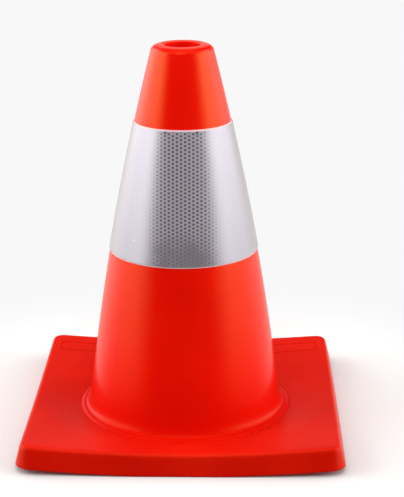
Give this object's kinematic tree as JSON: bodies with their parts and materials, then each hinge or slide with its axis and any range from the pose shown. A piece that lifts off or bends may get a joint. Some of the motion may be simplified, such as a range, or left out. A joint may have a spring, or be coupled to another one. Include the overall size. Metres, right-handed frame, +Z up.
{
  "type": "traffic cone",
  "caption": "Hollow traffic cone on a dished square base, with a reflective honeycomb sleeve that slips off over the top.",
  "frame": {"origin": "on the cone's axis, at the level of the flat underside that rests on the floor", "axes": "+Z up along the cone's axis, front towards -Y, collar seam at the back on +Y"},
  "size_m": [0.2484, 0.2484, 0.3],
  "materials": {
    "base_pvc": "satin",
    "cone_pvc": "gloss",
    "collar_white": "gloss",
    "retroreflective_film": "gloss"
  },
  "bodies": {
    "cone": {"base": "base_pvc", "cone_body": "cone_pvc"},
    "collar": {"collar_backing": "collar_white", "collar_prism_film": "retroreflective_film"}
  },
  "joints": [
    {"name": "collar_lift", "type": "slide", "parent": "cone", "child": "collar", "axis": [0, 0, 1], "range_m": [0, 0.18]}
  ]
}
